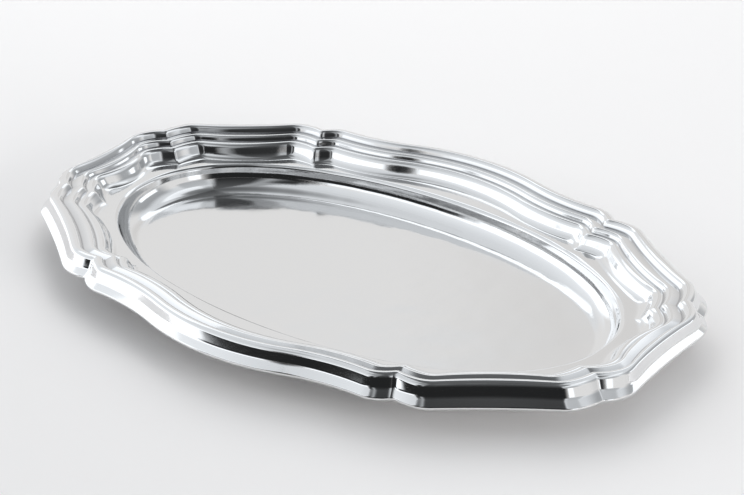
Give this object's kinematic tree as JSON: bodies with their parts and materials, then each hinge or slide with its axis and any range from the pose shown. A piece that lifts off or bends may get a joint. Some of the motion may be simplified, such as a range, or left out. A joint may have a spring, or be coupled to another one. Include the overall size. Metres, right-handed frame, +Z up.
{
  "type": "serving tray",
  "caption": "Long oval serving tray with a flat-floored well, a flat rim and a stepped, scalloped border that turns down into a skirt with a curled edge.",
  "frame": {"origin": "middle of the underside of the well's floor, which is the face the tray stands on", "axes": "+X along the tray, +Y across it, +Z up out of the well"},
  "size_m": [0.4416, 0.28, 0.0312],
  "materials": {
    "polished_steel": "mirror-polished stainless steel, with fine use scratches on the well's floor",
    "drawn_wire": "plain drawn steel wire"
  },
  "bodies": {
    "root": {"pressed_tray": "polished_steel", "edge_wire": "drawn_wire"}
  },
  "joints": []
}
